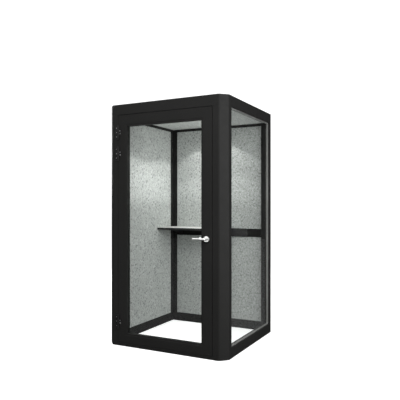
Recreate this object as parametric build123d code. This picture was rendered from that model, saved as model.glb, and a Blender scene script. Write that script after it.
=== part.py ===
from build123d import *
import os
from math import radians, sin

# Single-person acoustic telephone booth: aluminium frame, glass door, one glass side,
# two felt-lined solid walls, corner desk, power box and ventilated ceiling.
# Millimetres.  X runs left to right seen from the door, Y from the door to the rear wall, Z up.
# The origin is on the floor, at the centre of the whole envelope, door lever included.

# ---- overall -------------------------------------------------------------------------
width = 1260
depth = 1218
height = 2300
lever_reach = 56          # how far the door lever stands in front of the front face

# ---- frame ---------------------------------------------------------------------------
frame_depth = 65          # thickness of every frame member, from outside to inside
corner_cut = 68           # leg of the flat cut along each vertical corner
corner_soft = 25          # rounding where that cut meets the faces
top_edge_soft = 3         # rounding of the roof edge
seam = 0.6                # easing of every edge along a visible joint
foot_height = 4
plinth_top = 41           # base ring
sill_top = 98             # rail on the base ring, under each closed side
crown_height = 99         # top ring
post_leg = 118            # post width on the side and rear faces
post_front_leg = 98       # post width on the front face
jamb_face = 29.5          # door jamb beside each front post
tube_wall = 3             # wall of the hollow members
foot_radius = 22
foot_stud_radius = 5
foot_stud_top = 22
foot_edge = 1
foot_from_end = 110
stud_clearance = 0.3

# ---- walls, roof ---------------------------------------------------------------------
felt_thick = 12
panel_thick = 1.5         # outer sheet
panel_setback = 6         # outer panels behind the frame's face
felt_gap = 0.5            # fitting gap round the felt, panels and cores
felt_edge_soft = 1.5
ceiling_rise = 13         # felt ceiling above the underside of the top ring
roof_core_thick = 34
roof_panel_thick = 1.5
rail_bottom = 998         # rail across the rear wall
rail_top = 1085
rail_proud = 2

# ---- door ----------------------------------------------------------------------------
door_gap = 4              # seam round the leaf
leaf_bottom = 31
leaf_thick = 50
stile_width = 92
top_rail_width = 95
bottom_rail_width = 82
leaf_edge_bevel = 3       # bevel of the leaf's window edge
bead_width = 14
bead_recess = 2.5         # outer beads behind the leaf's face
glass_thick = 10
glass_front = 20          # glass behind the leaf's face
glass_edge_gap = 2
stop_depth = 11           # door stop behind the seal
stop_overlap = 14
seal_width = 8
seal_thick = 3.7
seal_inset = 1            # seal inside the leaf's edge
seal_slack = 0.3          # leaf to seal when shut
sweep_gap = 3             # leaf bottom above the threshold

# ---- hinges --------------------------------------------------------------------------
hinge_low_from_leaf = 136         # lowest hinge above the leaf's lower edge
hinge_tops_from_leaf = (299, 97)   # upper hinges below the leaf's upper edge
hinge_height = 130
hinge_inset = 4           # hinge axis inside the leaf's edge
barrel_radius = 8
barrel_clear = 0.4        # barrel to the faces behind it
plate_clear = 0.3         # frame plate to the leaf's edge
pin_tail = 2              # pin below the lowest knuckle
pin_head_rim = 1.5
pin_head_height = 3
hinge_pin_radius = 4
pin_fit = 0.03            # pin held in the frame's knuckles
running_fit = 0.06        # radial clearance of everything that turns
knuckle_share = 0.3       # share of the hinge height taken by each outer knuckle
knuckle_gap = 0.5
hinge_plate = 3
frame_plate_width = 27
door_plate_width = 21
screw_head_radius = 4
screw_head_height = 1.6
screw_radius = 2.2
screw_length = 9
screw_hole_fit = 0.2
screw_slot = 1
screw_head_soft = 0.8
frame_screw_shares = (0.18, 0.5, 0.82)     # heights as shares of the hinge's height
door_screw_shares = (0.4, 0.6)

# ---- handle and latch ----------------------------------------------------------------
handle_height = 1046
backset = 54              # lever axis from the leaf's edge
rose_radius = 26
rose_thick = 9
rose_soft = 2
lever_end_gap = 0.5       # lever root to the leaf's face
grip_radius = 9.5
lever_length = 121        # from the axis to the tip
lever_bend = 16
inner_reach = 52
spindle_side = 8
spindle_fit = 0.1
spindle_in_lever = 26
spindle_end_gap = 0.5
lock_case_size = (74, 20, 150)
forend_thick = 3
forend_size = (22, 220)
follower_radius = 6.4
spindle_hole_radius = 11
bolt_width = 12
bolt_height = 20
bolt_length = 46
bolt_throw = 11.5
bolt_fit = 0.3
bolt_bevel = 6
latch_drop = 34           # latch bolt above the lever axis
strike_thick = 1.5
strike_size = (26, 120)
strike_fit = 1.2

# ---- glass side ----------------------------------------------------------------------
channel_front = 14        # glazing channel behind the outer face
channel_depth = 26
channel_width = 8
channel_slot = 6
side_glass_fit = 0.2

# ---- desk and power ------------------------------------------------------------------
desk_top_z = 1095
desk_thick = 25
desk_width = 727
desk_depth = 342
desk_edge_soft = 2
bracket_inset = 110
bracket_width = 30
bracket_thick = 5
bracket_reach = 260
bracket_drop = 66
bracket_web_share = 0.8   # web length as a share of the arm
box_size = (188, 14, 80)
box_gap = 1.5             # desk end to power box
box_corner = 4
box_edge_soft = 1.5
box_bottom = 1002
outlet_size = (48, 48)
outlet_depth = 10
outlet_recess = 0.6
outlet_fit = 0.2
outlet_centres = (30, 86)       # from the box's left end
outlet_slot = (2.4, 8)
outlet_slot_apart = 12.7
outlet_slot_depth = 8
outlet_slot_rise = 4
outlet_earth_drop = 10
outlet_earth_radius = 2
rocker_centres = (128, 161)
rocker_size = (20, 30)
rocker_half_depth = 5
rocker_clear = 1.4
rocker_dish = 1.6
rocker_side_clear = 0.3
rocker_back = 2           # behind the pivot
rocker_back_share = 0.8   # rear height as a share of the face height
rocker_box_wall = 2
rocker_rest_tilt = 8
rocker_pin_radius = 1.5
rocker_pin_length = 2
rocker_pin_gap = 0.5

# ---- lamp and ventilation ------------------------------------------------------------
lamp_radius = 42
lamp_trim_radius = 50
lamp_from_centre = 272    # lamps in front of and behind the ceiling's centre
lamp_trim_thick = 4
lamp_can_depth = 30
lamp_can_wall = 2
lamp_edge_soft = 2
lamp_ledge = 4            # trim under the diffuser's edge
lamp_fit = 0.3
lamp_hole_fit = 1
diffuser_thick = 3
led_radius = 30
led_thick = 2
vent_from_centre = 90     # vents in front of the ceiling's centre
vent_spacing = 270        # vents each side of the middle
vent_size = 150
vent_flange = 3
vent_slots = 9
vent_slot_width = 7
vent_slot_share = 0.8     # slotted part of the grille
vent_edge = 1.5
collar_fit = 0.5
collar_wall = 2
vent_slot_inset = 4
duct_size = 122
fan_size = 120
fan_height = 32
fan_duct_radius = 56
fan_hub_radius = 19
fan_strut = 6
fan_strut_thick = 5
fan_shaft_radius = 3
fan_end_gap = 1           # rotor to the strut, axially
fan_hub_rise = 2
blade_root = 3            # blade into the hub
blade_count = 7
blade_pitch = 38
blade_thick = 2
blade_tip_gap = 3
hood_size = (190, 190)
hood_height = 26
hood_wall = 2
hood_slot_height = 8
hood_slots = 5
hood_slot_share = 0.7     # open part of each slot's pitch
hood_slot_drop = 2        # slots below mid height
hood_corner = 12
hood_edge = 4
inlet_size = (60, 44, 30)
inlet_from_rear = 70
inlet_mouth = (24, 16)
inlet_depth = 15
inlet_edge = 2
inlet_pin = (2, 4, 8)
inlet_pin_apart = 7
inlet_pin_stagger = 2

over = 1                  # how far a cutting shape runs past the faces it cuts

# ---- places that follow from the sizes above -----------------------------------------
left, right = -width / 2, width / 2
front = (lever_reach - depth) / 2
rear = front + depth
mid_y = (front + rear) / 2
in_left, in_right = left + frame_depth, right - frame_depth
in_front, in_rear = front + frame_depth, rear - frame_depth
stop_face = front + leaf_thick + seal_slack + seal_thick
stop_span = (stop_face, stop_face + stop_depth)
open_half = width / 2 - post_front_leg - jamb_face
leaf_half = open_half - door_gap
crown_bottom = height - crown_height
leaf_top = crown_bottom - door_gap
hinge_bottoms = [leaf_bottom + hinge_low_from_leaf]
hinge_bottoms += [leaf_top - drop - hinge_height for drop in hinge_tops_from_leaf]
side_front, side_rear = front + post_leg, rear - post_leg
rear_left, rear_right = left + post_leg, right - post_leg
ceiling_z = crown_bottom + ceiling_rise
axis_x = -leaf_half + hinge_inset
axis_y = front - barrel_radius - barrel_clear
lever_x = leaf_half - backset
bolt_z = handle_height + latch_drop
plate_span = (front - hinge_plate, front)
vent_y = mid_y - vent_from_centre
lamp_ys = (mid_y - lamp_from_centre, mid_y + lamp_from_centre)

nodes = {}


def block(x, y, z):
    """A box between two limits on each axis."""
    size = (x[1] - x[0], y[1] - y[0], z[1] - z[0])
    return Pos((x[0] + x[1]) / 2, (y[0] + y[1]) / 2, (z[0] + z[1]) / 2) * Box(*size)


def centred(middle, size):
    """Limits of a span about its middle."""
    return (middle - size / 2, middle + size / 2)


def rod(radius, start, end):
    """A round bar between two points on a line along one axis."""
    run = Vector(*end) - Vector(*start)
    return extrude(Plane(origin=start, z_dir=run) * Circle(radius), run.length)


def tube(x, y, z, along):
    """A rectangular tube with open ends."""
    limits = [x, y, z]
    inner = [(a + tube_wall, b - tube_wall) for a, b in limits]
    inner["XYZ".index(along)] = limits["XYZ".index(along)]
    return block(*limits) - block(*inner)


def rect(x, y):
    return Pos((x[0] + x[1]) / 2, (y[0] + y[1]) / 2) * Rectangle(x[1] - x[0], y[1] - y[0])


def plan_outline(inset=0):
    """The booth's outline from above, moved inwards by inset."""
    cut = corner_cut - inset * (2 - 2 ** 0.5)
    sketch = Rectangle(width - 2 * inset, depth - 2 * inset)
    sketch = chamfer(sketch.vertices(), cut)
    sketch = fillet(sketch.vertices(), corner_soft - inset * 0.5)
    return Pos(0, mid_y) * sketch


def mitred(outer, inner):
    """The four trapezoids of a mitred frame, as sketches: low, high, left, right."""
    (u0, u1), (v0, v1) = outer
    (a0, a1), (b0, b1) = inner
    shapes = {
        "low": ((u0, v0), (u1, v0), (a1, b0), (a0, b0)),
        "high": ((u0, v1), (a0, b1), (a1, b1), (u1, v1)),
        "left": ((u0, v0), (a0, b0), (a0, b1), (u0, v1)),
        "right": ((u1, v0), (u1, v1), (a1, b1), (a1, b0)),
    }
    return {name: make_face(Polyline(*points, close=True)) for name, points in shapes.items()}


def facade(sketch, y0, y1):
    """A sketch drawn in X and Z, as a solid from y0 to y1."""
    return extrude(Plane.XZ.offset(-y0) * sketch, -(y1 - y0))


def ring_members(z0, z1):
    """The four mitred members of a ring at the booth's outline, each hollow."""
    outer = ((left, right), (front, rear))
    inner = ((in_left, in_right), (in_front, in_rear))
    cavity_plan = plan_outline(tube_wall) - rect(
        (in_left - tube_wall, in_right + tube_wall), (in_front - tube_wall, in_rear + tube_wall))
    outline = plan_outline()
    members = {}
    for name, shape in mitred(outer, inner).items():
        member = Pos(0, 0, z0) * extrude(outline & shape, z1 - z0)
        cavity = Pos(0, 0, z0 + tube_wall) * extrude(cavity_plan & shape, z1 - z0 - 2 * tube_wall)
        members[name] = (member, cavity)
    return members


# ---- base ring, with a lowered threshold under the door ------------------------------
def seam_cut(z):
    """A shallow groove round the outline where two stacked members meet."""
    return Pos(0, 0, z - seam) * extrude(plan_outline() - plan_outline(seam), 2 * seam)


def build_base():
    threshold = leaf_bottom - sweep_gap
    notch = block((-open_half, open_half), (front - over, stop_face), (threshold, plinth_top + over))
    low_cavity = block((left, right), (front, rear), (threshold - tube_wall, plinth_top))
    for name, (member, cavity) in ring_members(foot_height, plinth_top).items():
        place = {"low": "front", "high": "rear"}.get(name, name)
        if place == "front":
            member -= notch
            cavity -= low_cavity
        member = member - cavity - seam_cut(plinth_top)
        for x, y in foot_places():
            member -= rod(foot_stud_radius + stud_clearance, (x, y, foot_height - over),
                          (x, y, foot_height + tube_wall + over))
        nodes[f"base_{place}"] = member
    feet = []
    for x, y in foot_places():
        pad = rod(foot_radius, (x, y, 0), (x, y, foot_height))
        pad = chamfer(pad.edges().group_by(Axis.Z)[0], foot_edge)
        feet.append(pad + rod(foot_stud_radius, (x, y, foot_height), (x, y, foot_stud_top)))
    nodes["levelling_feet"] = Compound(children=[foot.solid() for foot in feet])


def foot_places():
    reach = width / 2 - foot_from_end
    return [(x, y) for x in (-reach, reach)
            for y in (front + frame_depth / 2, rear - frame_depth / 2)]


def build_sills():
    z = (plinth_top, sill_top)
    rails = [tube((left, in_left), (side_front, side_rear), z, "Y"),
             tube((in_right, right), (side_front, side_rear), z, "Y"),
             tube((rear_left, rear_right), (in_rear, rear), z, "X")]
    groove = seam_cut(plinth_top)
    nodes["sill_rails"] = Compound(children=[(rail - groove).solid() for rail in rails])


# ---- corner posts: hollow L sections under the booth's outline -----------------------
def build_posts():
    outline, hollow = plan_outline(), plan_outline(tube_wall)
    grooves = seam_cut(plinth_top) + seam_cut(crown_bottom)
    for x_name, x_face, x_in in (("left", left, 1), ("right", right, -1)):
        for y_name, y_face, y_in, leg in (("front", front, 1, post_front_leg),
                                          ("rear", rear, -1, post_leg)):
            def arm(face, inwards, start, end):
                return tuple(sorted((face + inwards * start, face + inwards * end)))

            def legs(wall):
                deep = frame_depth - wall
                along_x = rect(arm(x_face, x_in, wall, leg - wall), arm(y_face, y_in, wall, deep))
                along_y = rect(arm(x_face, x_in, wall, deep), arm(y_face, y_in, wall, post_leg - wall))
                return along_x + along_y

            section = (outline & legs(0)) - (hollow & legs(tube_wall))
            post = Pos(0, 0, plinth_top) * extrude(section, crown_bottom - plinth_top)
            nodes[f"post_{y_name}_{x_name}"] = post - grooves


# ---- top ring; its front member carries the head stop of the door --------------------
def build_crown():
    soft = extrude(plan_outline(), height)
    soft = fillet(soft.edges().group_by(Axis.Z)[-1], top_edge_soft) - seam_cut(crown_bottom)
    for name, (member, cavity) in ring_members(crown_bottom, height).items():
        place = {"low": "front", "high": "rear"}.get(name, name)
        member = (member & soft) - cavity
        if place == "front":
            reach = open_half - stop_overlap
            member += block((-reach, reach), stop_span, (crown_bottom - stop_overlap, crown_bottom))
        nodes[f"crown_{place}"] = member


# ---- door jambs: a tube with a stop that the shut leaf meets -------------------------
def build_jambs():
    z = (plinth_top, crown_bottom)
    for name, side in (("hinge", -1), ("strike", 1)):
        def across(a, b):
            return tuple(sorted((side * a, side * b)))

        jamb = tube(across(open_half, open_half + jamb_face), (front, in_front), z, "Z")
        corners = jamb.edges().filter_by(Axis.Z).group_by(Axis.Y)[0]
        jamb = chamfer(corners.sort_by(Axis.X)[0 if side < 0 else -1], seam)
        jamb += block(across(open_half - stop_overlap, open_half + tube_wall / 2), stop_span, z)
        if name == "strike":
            jamb -= block(across(open_half - over, open_half + tube_wall + over), *strike_hole())
        else:
            jamb = screw_holes(jamb, hinge_screw_places("frame"))
        nodes[f"jamb_{name}"] = jamb
    plate = block((open_half - strike_thick, open_half),
                  centred(front + leaf_thick / 2, strike_size[0]), centred(bolt_z, strike_size[1]))
    plate -= block((open_half - strike_thick - over, open_half + over), *strike_hole())
    nodes["strike_plate"] = plate


def strike_hole():
    return (centred(front + leaf_thick / 2, bolt_width + 2 * strike_fit),
            centred(bolt_z, bolt_height + 2 * strike_fit))


def build_door_seal():
    outer_half = leaf_half - seal_inset
    low, high = leaf_bottom + seal_inset, leaf_top - seal_inset
    ring = rect((-outer_half, outer_half), (low, high))
    ring -= rect((seal_width - outer_half, outer_half - seal_width), (low + seal_width, high - seal_width))
    nodes["door_seal"] = facade(ring, front + leaf_thick + seal_slack, stop_face)


# ---- solid walls: outer panel, acoustic core, felt ------------------------------------
def build_walls():
    z = (sill_top + felt_gap, crown_bottom - felt_gap)
    y = (side_front + felt_gap, side_rear - felt_gap)
    x = (rear_left + felt_gap, rear_right - felt_gap)
    skin = panel_setback + panel_thick
    core = frame_depth - felt_thick
    nodes["panel_left"] = block((left + panel_setback, left + skin), y, z)
    nodes["panel_rear"] = block(x, (rear - skin, rear - panel_setback), z)
    nodes["felt_left"] = soft_panel(block((left + core, in_left), y, z), Axis.X, -1)
    for name, span in (("lower", (z[0], rail_bottom - felt_gap)), ("upper", (rail_top + felt_gap, z[1]))):
        board = block(x, (in_rear, rear - core), span)
        nodes[f"felt_rear_{name}"] = soft_panel(board, Axis.Y, 0)
    nodes["desk_rail"] = block(x, (in_rear - rail_proud, rear - core), (rail_bottom, rail_top))
    cores = [block((left + skin, left + core), y, z), block(x, (rear - core, rear - skin), z),
             build_roof_core()]
    nodes["acoustic_cores"] = Compound(children=[item.solid() for item in cores])


def soft_panel(board, axis, index):
    """Felt board with a slightly rounded edge on its face into the cabin."""
    return fillet(board.faces().sort_by(axis)[index].edges(), felt_edge_soft)


# ---- roof and ceiling ------------------------------------------------------------------
def vent_places():
    return [(-vent_spacing, vent_y), (vent_spacing, vent_y)]


def inside(clear):
    return (in_left + clear, in_right - clear), (in_front + clear, in_rear - clear)


def build_roof_core():
    z = (ceiling_z + felt_thick, ceiling_z + felt_thick + roof_core_thick)
    core = block(*inside(felt_gap), z) - lamp_holes(z)
    for x, y in vent_places():
        core -= duct(x, y, z, duct_size, over)
    return core


def lamp_holes(z):
    return [rod(lamp_radius + lamp_hole_fit, (0, y, z[0] - over), (0, y, z[1] + over)) for y in lamp_ys]


def duct(x, y, z, size, past=0):
    """A square shaft about x, y, running past both limits of z."""
    return block(centred(x, size), centred(y, size), (z[0] - past, z[1] + past))


def build_roof():
    felt_z = (ceiling_z, ceiling_z + felt_thick)
    felt = block(*inside(felt_gap), felt_z) - lamp_holes(felt_z)
    panel_z = felt_z[1] + roof_core_thick
    panel = block(*inside(0), (panel_z, panel_z + roof_panel_thick))
    for x, y in vent_places():
        felt -= duct(x, y, felt_z, duct_size, over)
        panel -= rod(fan_duct_radius, (x, y, panel_z - over), (x, y, panel_z + roof_panel_thick + over))
    nodes["ceiling_felt"] = felt
    nodes["roof_panel"] = panel
    build_vents(felt_z)
    build_fan(*vent_places()[1], panel_z - fan_height)
    build_lamps()
    build_hoods(panel_z + roof_panel_thick)
    build_inlet(panel_z + roof_panel_thick)


def build_vents(felt_z):
    grilles = []
    pitch = vent_size * vent_slot_share / vent_slots
    outer = duct_size - 2 * collar_fit
    for x, y in vent_places():
        grille = duct(x, y, (ceiling_z - vent_flange, ceiling_z), vent_size)
        grille = chamfer(grille.faces().sort_by(Axis.Z)[0].edges(), vent_edge)
        grille += duct(x, y, felt_z, outer) - duct(x, y, felt_z, outer - 2 * collar_wall)
        for row in range(vent_slots):
            slot_y = y + (row - (vent_slots - 1) / 2) * pitch
            grille -= block(centred(x, duct_size - 2 * vent_slot_inset), centred(slot_y, vent_slot_width),
                            (ceiling_z - vent_flange - over, ceiling_z + over))
        grilles.append(grille)
    nodes["ceiling_vents"] = Compound(children=[grille.solid() for grille in grilles])


def build_fan(x, y, z):
    """Axial fan that draws the cabin's air out through the right-hand vent."""
    top = z + fan_height
    strut_z = (top - fan_strut_thick, top)
    frame = duct(x, y, (z, top), fan_size) - rod(fan_duct_radius, (x, y, z - over), (x, y, top + over))
    frame += rod(fan_hub_radius, (x, y, strut_z[0]), (x, y, top))
    strut = 2 * (fan_duct_radius + over)
    frame += block(centred(x, strut), centred(y, fan_strut), strut_z)
    frame += block(centred(x, fan_strut), centred(y, strut), strut_z)
    frame -= rod(fan_shaft_radius + running_fit, (x, y, strut_z[0] - over), (x, y, top + over))
    nodes["fan_frame"] = frame
    hub_z = (z + fan_hub_rise, strut_z[0] - fan_end_gap)
    rotor = rod(fan_hub_radius, (x, y, hub_z[0]), (x, y, hub_z[1]))
    blade_length = fan_duct_radius - fan_hub_radius
    chord = (hub_z[1] - hub_z[0] - blade_thick) / sin(radians(blade_pitch))
    blade = Rot(X=blade_pitch) * Box(blade_length, chord, blade_thick)
    blade = Pos(fan_hub_radius - blade_root + blade_length / 2, 0, sum(hub_z) / 2) * blade
    blade &= rod(fan_duct_radius - blade_tip_gap, (0, 0, hub_z[0]), (0, 0, hub_z[1]))
    for index in range(blade_count):
        rotor += Pos(x, y, 0) * (Rot(Z=index * 360 / blade_count) * blade)
    rotor += rod(fan_shaft_radius, (x, y, hub_z[1]), (x, y, top - fan_end_gap))
    nodes["fan_rotor"] = rotor


def build_lamps():
    """Two round downlights on the cabin's centre line."""
    z, top = ceiling_z, ceiling_z + lamp_can_depth
    bore = lamp_radius - lamp_can_wall
    board_z = top - lamp_can_wall - led_thick
    cans, diffusers, boards = [], [], []
    for y in lamp_ys:
        trim = rod(lamp_trim_radius, (0, y, z - lamp_trim_thick), (0, y, z))
        trim = fillet(trim.edges().group_by(Axis.Z)[0], lamp_edge_soft)
        trim -= rod(bore - lamp_ledge, (0, y, z - lamp_trim_thick - over), (0, y, z + over))
        can = rod(lamp_radius, (0, y, z), (0, y, top))
        can -= rod(bore, (0, y, z - over), (0, y, top - lamp_can_wall))
        cans.append((trim + can).solid())
        diffusers.append(rod(bore - lamp_fit, (0, y, z), (0, y, z + diffuser_thick)))
        boards.append(rod(led_radius, (0, y, board_z), (0, y, board_z + led_thick)))
    nodes["lamp_cans"] = Compound(children=cans)
    nodes["lamp_diffusers"] = Compound(children=[item.solid() for item in diffusers])
    nodes["led_boards"] = Compound(children=[item.solid() for item in boards])


def hood_shell(x, y, z, wall):
    size = [side - 2 * wall for side in hood_size]
    shell = block(centred(x, size[0]), centred(y, size[1]), (z - wall, z + hood_height - wall))
    shell = fillet(shell.edges().filter_by(Axis.Z), hood_corner - wall)
    return chamfer(shell.faces().sort_by(Axis.Z)[-1].edges(), hood_edge)


def build_hoods(z):
    """Slotted rain and dust hoods over the two roof ducts."""
    hoods = []
    pitch = hood_size[0] * vent_slot_share / hood_slots
    slot_z = centred(z + hood_height / 2 - hood_slot_drop, hood_slot_height)
    for x, y in vent_places():
        hood = hood_shell(x, y, z, 0) - hood_shell(x, y, z, hood_wall)
        for index in range(hood_slots):
            slot = centred(x + (index - (hood_slots - 1) / 2) * pitch, pitch * hood_slot_share)
            hood -= block(slot, centred(y, hood_size[1] + 2 * over), slot_z)
        hoods.append(hood)
    nodes["roof_hoods"] = Compound(children=[hood.solid() for hood in hoods])


def build_inlet(z):
    """Mains inlet on the roof, its mouth facing the rear."""
    y1 = in_rear - inlet_from_rear
    floor_y = y1 - inlet_depth
    body = block(centred(0, inlet_size[0]), (y1 - inlet_size[1], y1), (z, z + inlet_size[2]))
    body = chamfer(body.faces().sort_by(Axis.Z)[-1].edges(), inlet_edge)
    mid_z = z + inlet_size[2] / 2
    body -= block(centred(0, inlet_mouth[0]), (floor_y, y1 + over), centred(mid_z, inlet_mouth[1]))
    for step in (-1, 0, 1):
        pin_z = mid_z + inlet_pin_stagger * (1 if step == 0 else -1)
        body += block(centred(step * inlet_pin_apart, inlet_pin[0]),
                      (floor_y - over, floor_y + inlet_pin[2]), centred(pin_z, inlet_pin[1]))
    nodes["mains_inlet"] = body


# ---- glass side ------------------------------------------------------------------------
def build_glass_side():
    y, z = (side_front, side_rear), (sill_top, crown_bottom)
    inner_y = (y[0] + channel_width, y[1] - channel_width)
    inner_z = (z[0] + channel_width, z[1] - channel_width)
    x1 = right - channel_front
    x0 = x1 - channel_depth
    glass_x = centred((x0 + x1) / 2, glass_thick)
    reach = channel_slot - 0.5
    pane = block(glass_x, (inner_y[0] - reach, inner_y[1] + reach), (inner_z[0] - reach, inner_z[1] + reach))
    slot = block((glass_x[0] - side_glass_fit, glass_x[1] + side_glass_fit),
                 (inner_y[0] - channel_slot, inner_y[1] + channel_slot),
                 (inner_z[0] - channel_slot, inner_z[1] + channel_slot))
    bars = []
    for shape in mitred((y, z), (inner_y, inner_z)).values():
        bar = extrude(Plane.YZ.offset(x0) * shape, channel_depth) - slot
        bars.append(bar.solid())
    nodes["glazing_channel"] = Compound(children=bars)
    nodes["side_glass"] = chamfer(pane.edges().filter_by(Axis.X), 3)


# ---- door leaf ---------------------------------------------------------------------------
def window():
    return ((stile_width - leaf_half, leaf_half - stile_width),
            (leaf_bottom + bottom_rail_width, leaf_top - top_rail_width))


def build_leaf():
    outer = ((-leaf_half, leaf_half), (leaf_bottom, leaf_top))
    (u0, u1), (v0, v1) = window()
    back = front + leaf_thick
    mouth = rect((u0 - leaf_edge_bevel, u1 + leaf_edge_bevel), (v0 - leaf_edge_bevel, v1 + leaf_edge_bevel))
    bevel = extrude(Plane.XZ.offset(-front) * mouth, -leaf_edge_bevel, taper=45)
    cavity_y = (front + tube_wall, back - tube_wall)
    cavities = {
        "low": block((-leaf_half, leaf_half), cavity_y, (leaf_bottom + tube_wall, v0 - tube_wall)),
        "high": block((-leaf_half, leaf_half), cavity_y, (v1 + tube_wall, leaf_top - tube_wall)),
        "left": block((tube_wall - leaf_half, u0 - tube_wall), cavity_y, outer[1]),
        "right": block((u1 + tube_wall, leaf_half - tube_wall), cavity_y, outer[1]),
    }
    names = {"low": "door_rail_bottom", "high": "door_rail_top",
             "left": "door_stile_hinge", "right": "door_stile_lock"}
    for name, shape in mitred(outer, ((u0, u1), (v0, v1))).items():
        member = facade(shape, front, back) - bevel - cavities[name]
        if name == "right":
            member -= lock_cuts()
        if name == "left":
            member = screw_holes(member, hinge_screw_places("door"))
        nodes[names[name]] = member
    glass_y = (front + glass_front, front + glass_front + glass_thick)
    nodes["door_glass"] = block((u0 + glass_edge_gap, u1 - glass_edge_gap), glass_y,
                                (v0 + glass_edge_gap, v1 - glass_edge_gap))
    inner = ((u0 + bead_width, u1 - bead_width), (v0 + bead_width, v1 - bead_width))
    beads = []
    for y0, y1 in ((front + bead_recess, glass_y[0]), (glass_y[1], back - bead_recess)):
        for shape in mitred(((u0, u1), (v0, v1)), inner).values():
            beads.append(facade(shape, y0, y1).solid())
    nodes["glazing_beads"] = Compound(children=beads)


def lock_cuts():
    """Openings in the lock stile: forend, latch bolt and spindle."""
    wall = (leaf_half - tube_wall - over, leaf_half + over)
    y = front + leaf_thick / 2
    cuts = block(wall, centred(y, forend_size[0]), centred(bolt_z - latch_drop / 2, forend_size[1]))
    return cuts + rod(spindle_hole_radius, (lever_x, front - over, handle_height),
                      (lever_x, front + leaf_thick + over, handle_height))


# ---- lock, latch bolt, roses and levers ------------------------------------------------
def build_lock():
    y = front + leaf_thick / 2
    middle_z = bolt_z - latch_drop / 2
    case_x1 = leaf_half - forend_thick
    case = block((case_x1 - lock_case_size[0], case_x1), centred(y, lock_case_size[1]),
                 centred(middle_z, lock_case_size[2]))
    case += block((case_x1, leaf_half), centred(y, forend_size[0]), centred(middle_z, forend_size[1]))
    case -= block((leaf_half - bolt_length - bolt_throw, leaf_half + over),
                  centred(y, bolt_width + 2 * bolt_fit), centred(bolt_z, bolt_height + 2 * bolt_fit))
    case -= rod(follower_radius, (lever_x, y - lock_case_size[1], handle_height),
                (lever_x, y + lock_case_size[1], handle_height))
    nodes["lock_case"] = case
    tip = leaf_half + bolt_throw
    y0, y1 = centred(y, bolt_width)
    profile = Polyline((tip - bolt_length, y0), (tip, y0), (tip, y1 - bolt_bevel),
                       (tip - bolt_bevel, y1), (tip - bolt_length, y1), close=True)
    nodes["latch_bolt"] = Pos(0, 0, bolt_z - bolt_height / 2) * extrude(make_face(profile), bolt_height)


def build_handle():
    spindle = (front - spindle_in_lever, front + leaf_thick + spindle_in_lever)
    socket = spindle_side + 2 * spindle_fit

    def at(y, x=lever_x):
        return (x, y, handle_height)

    roses = []
    for name, face, out, reach in (("outer", front, -1, lever_reach),
                                   ("inner", front + leaf_thick, 1, inner_reach)):
        rose = rod(rose_radius, at(face), at(face + out * rose_thick))
        rim = rose.edges().filter_by(GeomType.CIRCLE).sort_by(Axis.Y)[0 if out < 0 else -1]
        rose = fillet(rim, rose_soft)
        rose -= rod(grip_radius + running_fit, at(face - out), at(face + out * (rose_thick + over)))
        roses.append(rose)
        bar, tip_x = face + out * (reach - grip_radius), lever_x - lever_length + grip_radius
        path = FilletPolyline(at(face + out * lever_end_gap), at(bar), at(bar, tip_x), radius=lever_bend)
        lever = sweep(Plane(origin=path @ 0, z_dir=path % 0) * Circle(grip_radius), path)
        lever += Pos(*at(bar, tip_x)) * Sphere(grip_radius)
        lever -= block(centred(lever_x, socket), spindle, centred(handle_height, socket))
        nodes[f"lever_{name}"] = lever
    nodes["roses"] = Compound(children=[rose.solid() for rose in roses])
    nodes["spindle"] = block(centred(lever_x, spindle_side),
                             (spindle[0] + spindle_end_gap, spindle[1] - spindle_end_gap),
                             centred(handle_height, spindle_side))


# ---- hinges -------------------------------------------------------------------------------
def build_hinges():
    frame_plates, door_plates, pins = [], [], []
    end = hinge_height * knuckle_share
    for z0 in hinge_bottoms:
        z1 = z0 + hinge_height
        middle = (z0 + end + knuckle_gap, z1 - end - knuckle_gap)
        span = (axis_x - barrel_radius - frame_plate_width, -leaf_half - plate_clear)
        plate = block(span, plate_span, (z0, z1))
        plate -= barrel(z0 + end, z1 - end, barrel_radius + over)
        plate += barrel(z0, z0 + end) + barrel(z1 - end, z1)
        frame_plates.append(plate - barrel(z0 - over, z1 + over, hinge_pin_radius + pin_fit))
        plate = block((axis_x, axis_x + barrel_radius + door_plate_width), plate_span, middle)
        plate += barrel(*middle)
        door_plates.append(plate - barrel(z0, z1, hinge_pin_radius + running_fit))
        pin = barrel(z0 - pin_tail, z1, hinge_pin_radius)
        pin += barrel(z1, z1 + pin_head_height, hinge_pin_radius + pin_head_rim)
        pins.append(fillet(pin.edges().group_by(Axis.Z)[-1], pin_head_rim / 2))
    nodes["hinge_pins"] = Compound(children=[pin.solid() for pin in pins])
    for key, plates in (("frame", frame_plates), ("door", door_plates)):
        places = hinge_screw_places(key)
        plates = [screw_holes(plate, places) for plate in plates]
        nodes[f"hinge_{key}_plates"] = Compound(children=[plate.solid() for plate in plates])
        nodes[f"hinge_{key}_screws"] = Compound(children=[screw(x, z).solid() for x, z in places])


def barrel(z0, z1, radius=barrel_radius):
    return rod(radius, (axis_x, axis_y, z0), (axis_x, axis_y, z1))


def hinge_screw_places(key):
    """Places of the screws, in the middle of the plates' free width."""
    if key == "frame":
        x, shares = axis_x - barrel_radius - frame_plate_width / 2, frame_screw_shares
    else:
        x, shares = axis_x + barrel_radius + door_plate_width / 2, door_screw_shares
    return [(x, z0 + hinge_height * share) for z0 in hinge_bottoms for share in shares]


def screw_holes(piece, places):
    for x, z in places:
        piece -= rod(screw_radius + screw_hole_fit, (x, plate_span[0] - over, z),
                     (x, front + tube_wall + over, z))
    return piece


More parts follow.
